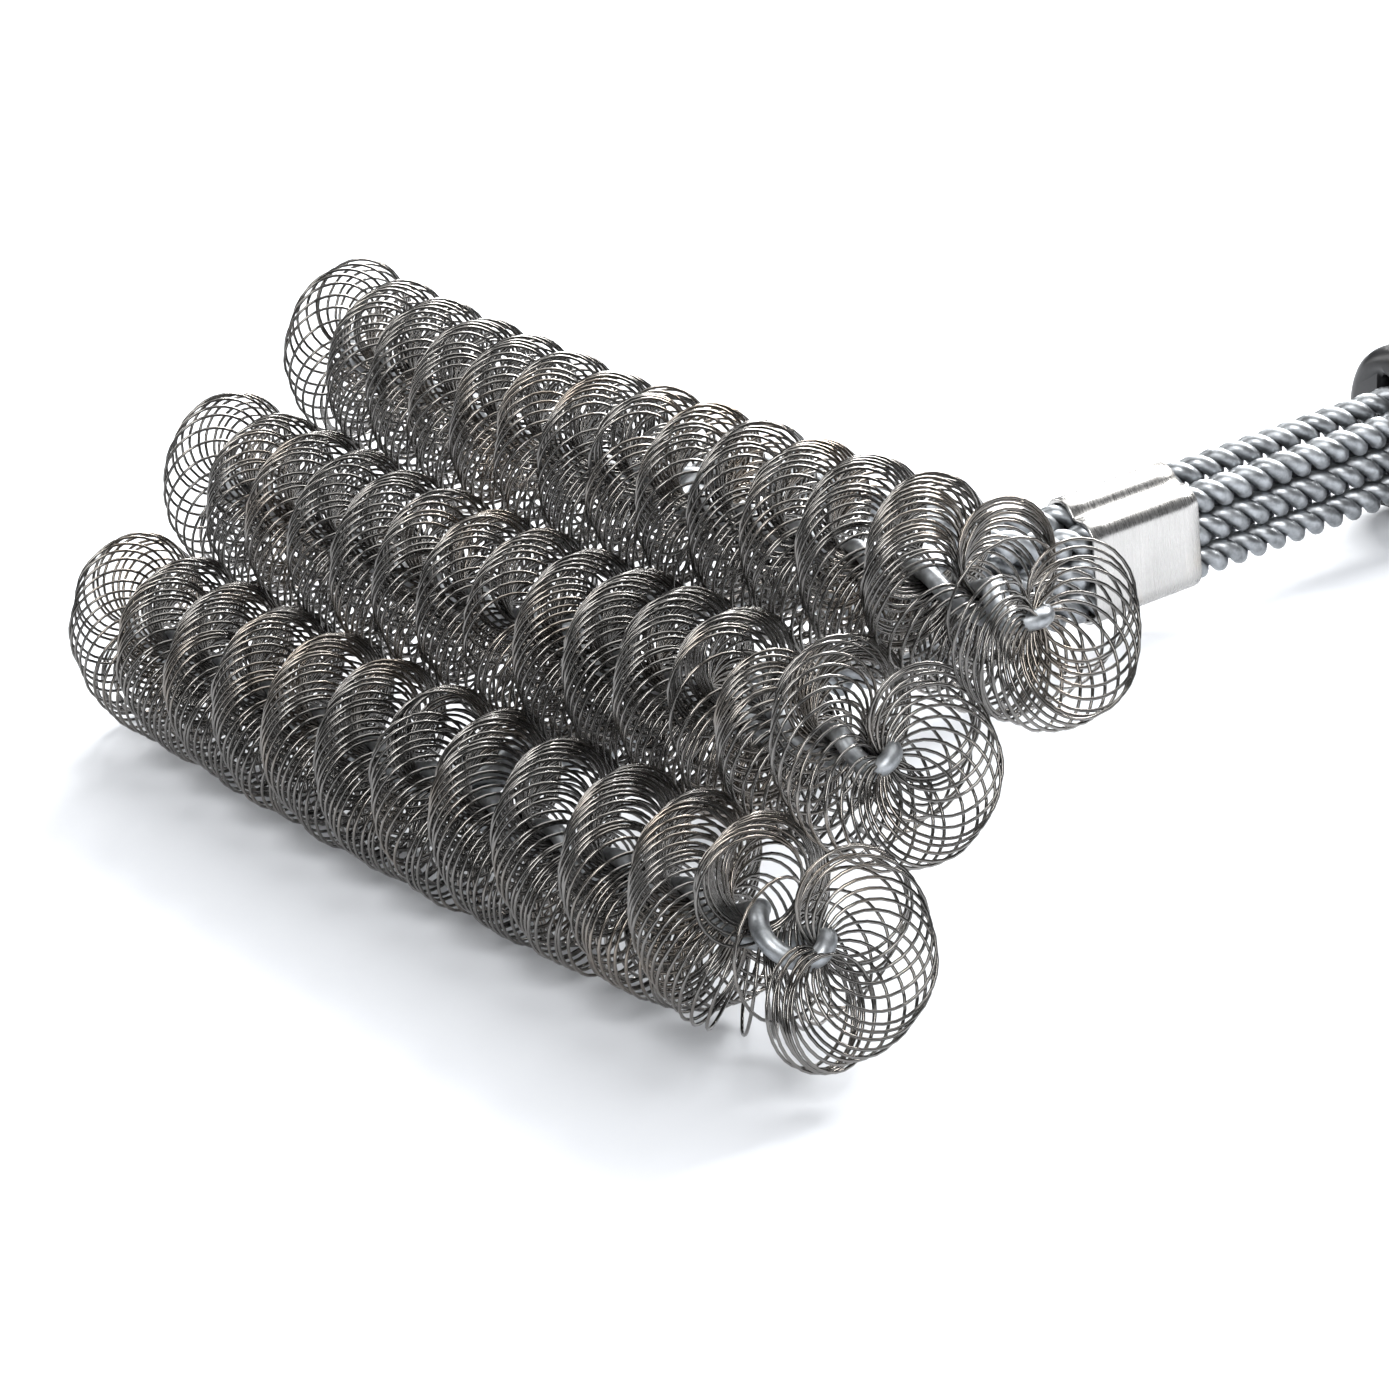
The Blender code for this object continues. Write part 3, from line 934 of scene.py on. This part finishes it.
def make_end_cap(material):
    """Make the end cap with its rounded hanging hole."""
    low, high = box_of("handle_end_cap")
    front = low[1]
    back = high[1]
    count = 96
    body = [(front + 0.0010, 0.0142, -0.0018, 0.0211),
            (front + 0.0107, 0.0148, -0.0018, 0.0196),
            (front + 0.0187, 0.0138, -0.0016, 0.0184),
            (front + 0.0237, 0.0112, -0.0008, 0.0170),
            (back - 0.0012, 0.0085, 0.0012, 0.0154)]
    stations = [(front, 0.0136, -0.0012, 0.0206), (front + 0.0004, 0.0140, -0.0016, 0.0209)]
    stations += [tuple(row) for row in smooth_stations(body, 0.0006)]
    stations += [(back - 0.0004, 0.0070, 0.0024, 0.0142), (back, 0.0052, 0.0040, 0.0126)]
    rings = [rounded_ring(*station, 2.7, count) for station in stations]
    item = loft("handle_end_cap_with_hole", rings, material, False)
    centre_y = front + 0.0137
    cutter_rings = []
    for height, radius in ((-0.0040, 0.0090), (-0.0002, 0.0072), (0.0010, 0.0064),
                           (0.0028, 0.0060), (0.0160, 0.0060), (0.0178, 0.0064),
                           (0.0192, 0.0074), (0.0250, 0.0100)):
        turns = 2.0 * math.pi * np.arange(64) / 64
        cutter_rings.append(np.stack([radius * np.cos(turns),
                                      centre_y + radius * np.sin(turns),
                                      np.full(64, height)], axis=1))
    cutter = loft("hole_cutter", cutter_rings, material, False)
    cut = item.modifiers.new("hanging hole", "BOOLEAN")
    cut.operation = "DIFFERENCE"
    cut.solver = "EXACT"
    cut.object = cutter
    shaped = bpy.data.meshes.new_from_object(
        item.evaluated_get(bpy.context.evaluated_depsgraph_get()))
    item.modifiers.clear()
    item.data = shaped
    bpy.data.objects.remove(cutter, do_unlink=True)
    finish_handle_piece(item, "handle_end_cap")
    return item


# ---------------------------------------------------------------------------
# Stage
# ---------------------------------------------------------------------------

def make_floor(settings):
    """Make the pale floor just under the lowest winding."""
    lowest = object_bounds()[0][2]
    reach = 4.0
    vertices = np.array([(-reach, -reach, 0.0), (reach, -reach, 0.0), (reach, reach, 0.0),
                         (-reach, reach, 0.0)]) + np.array([0.0, 0.0, min(lowest, 0.0) - 0.0001])
    floor = mesh_object("studio_floor", vertices, np.array([(0, 1, 2, 3)]), [],
                        floor_paper(settings))
    floor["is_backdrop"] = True
    return floor


def add_area_light(name, place, target, size, power, color=(1.0, 1.0, 1.0)):
    """Add a soft rectangular light aimed at a point."""
    light = bpy.data.lights.new(name, "AREA")
    light.shape = "RECTANGLE"
    light.size = size[0]
    light.size_y = size[1]
    light.energy = power
    light.color = color
    item = bpy.data.objects.new(name, light)
    bpy.context.scene.collection.objects.link(item)
    item.location = place
    aim = Vector(target) - Vector(place)
    item.rotation_euler = aim.to_track_quat("-Z", "Y").to_euler()
    return item


def make_world():
    """Light the scene with a dim surround, so that the large lights draw the highlights."""
    world = bpy.data.worlds.new("dim_surround")
    bpy.context.scene.world = world
    world.use_nodes = True
    background = world.node_tree.nodes["Background"]
    background.inputs["Color"].default_value = (0.93, 0.96, 1.0, 1.0)
    background.inputs["Strength"].default_value = 0.14


def make_camera():
    """Add the camera, looking along the rolls from the right front."""
    camera = bpy.data.cameras.new("camera")
    camera.lens = 103.67
    camera.sensor_width = 36.0
    camera.clip_start = 0.01
    camera.clip_end = 20.0
    item = bpy.data.objects.new("camera", camera)
    bpy.context.scene.collection.objects.link(item)
    right = Vector((0.58289, 0.80650, -0.09895))
    up = Vector((-0.25260, 0.29560, 0.92131))
    back = right.cross(up)
    up = back.cross(right)
    turn = Matrix((right, up, back)).transposed().to_4x4()
    item.matrix_world = Matrix.Translation(Vector((0.43875, -0.45504, 0.22679))) @ turn
    bpy.context.scene.camera = item
    return item


# ---------------------------------------------------------------------------
# Operators
# ---------------------------------------------------------------------------

class BRUSH_OT_twisted_wires(Operator):
    """Make the six folded and twisted wires"""

    bl_idname = "brush.twisted_wires"
    bl_label = "Twisted Wires"

    def execute(self, context):
        stem = context.scene.brush_stem
        material = galvanised_wire(stem)
        for side_name, side in SIDES:
            for row_name, row in ROWS:
                make_twisted_wire(side_name, side, row_name, row, stem, material)
        return {"FINISHED"}


class BRUSH_OT_coil_springs(Operator):
    """Make the six wound springs of the rolls"""

    bl_idname = "brush.coil_springs"
    bl_label = "Coil Springs"

    def execute(self, context):
        rolls = context.scene.brush_rolls
        material = spring_steel(rolls)
        for side_name, side in SIDES:
            for row_name, row in ROWS:
                make_coil_spring(side_name, side, row_name, row, rolls, material)
        return {"FINISHED"}


class BRUSH_OT_sleeve(Operator):
    """Make the crimped steel sleeve"""

    bl_idname = "brush.sleeve"
    bl_label = "Stem Sleeve"

    def execute(self, context):
        make_sleeve(sleeve_steel(context.scene.brush_stem))
        return {"FINISHED"}


class BRUSH_OT_handle(Operator):
    """Make the collar, the grip and the end cap of the handle"""

    bl_idname = "brush.handle"
    bl_label = "Handle"

    def execute(self, context):
        handle = context.scene.brush_handle
        shell = handle_plastic(handle, "moulded_black_shell", 900.0, 0.32, 0.42)
        soft = handle_plastic(handle, "moulded_black_grip", 1400.0, 0.48, 0.60)
        make_collar(shell)
        make_grip(soft)
        make_end_cap(shell)
        return {"FINISHED"}


class BRUSH_OT_stage(Operator):
    """Make the floor, the lights and the camera"""

    bl_idname = "brush.stage"
    bl_label = "Studio"

    def execute(self, context):
        settings = context.scene.brush_stage
        make_floor(settings)
        make_world()
        power = settings.key_power
        middle = (0.0, -0.13, 0.03)
        add_area_light("overhead_softbox", (-0.05, 0.34, 1.05), middle, (1.0, 1.0), power * 0.5)
        add_area_light("back_strip", (-0.45, 0.95, 0.85), middle, (1.6, 0.28), power * 3.0)
        add_area_light("left_strip", (-0.95, -0.55, 0.75), middle, (0.30, 1.2), power * 0.40)
        add_area_light("right_strip", (0.85, -0.75, 0.85), middle, (0.30, 1.0), power * 0.70)
        make_camera()
        context.scene.view_settings.view_transform = "Standard"
        return {"FINISHED"}


class BRUSH_PT_panel(Panel):
    """Buttons and sizes of the grill brush"""

    bl_idname = "BRUSH_PT_panel"
    bl_label = "Grill Brush"
    bl_space_type = "VIEW_3D"
    bl_region_type = "UI"
    bl_category = "Grill Brush"

    def draw(self, context):
        layout = self.layout
        for group, words in (("brush_rolls", "Rolls"), ("brush_stem", "Stem"),
                             ("brush_handle", "Handle"), ("brush_stage", "Studio")):
            box = layout.box()
            box.label(text=words)
            settings = getattr(context.scene, group)
            for name in settings.bl_rna.properties.keys():
                if name not in {"rna_type", "name"}:
                    box.prop(settings, name)
        for operator in OPERATORS:
            layout.operator(operator.bl_idname)


GROUPS = (("brush_rolls", BrushRollSettings), ("brush_stem", BrushStemSettings),
          ("brush_handle", BrushHandleSettings), ("brush_stage", BrushStageSettings))
OPERATORS = (BRUSH_OT_twisted_wires, BRUSH_OT_coil_springs, BRUSH_OT_sleeve, BRUSH_OT_handle,
             BRUSH_OT_stage)
CLASSES = tuple(kind for _, kind in GROUPS) + OPERATORS + (BRUSH_PT_panel,)


def register():
    """Register every class and hang the settings on the scene."""
    for kind in CLASSES:
        bpy.utils.register_class(kind)
    for name, kind in GROUPS:
        setattr(bpy.types.Scene, name, PointerProperty(type=kind))


def unregister():
    """Take the settings off the scene and unregister every class."""
    for name, _ in GROUPS:
        delattr(bpy.types.Scene, name)
    for kind in reversed(CLASSES):
        bpy.utils.unregister_class(kind)


def main():
    """Build the brush and its studio."""
    register()
    bpy.ops.brush.twisted_wires()
    bpy.ops.brush.coil_springs()
    bpy.ops.brush.sleeve()
    bpy.ops.brush.handle()
    bpy.ops.brush.stage()


if __name__ == "__main__":
    main()
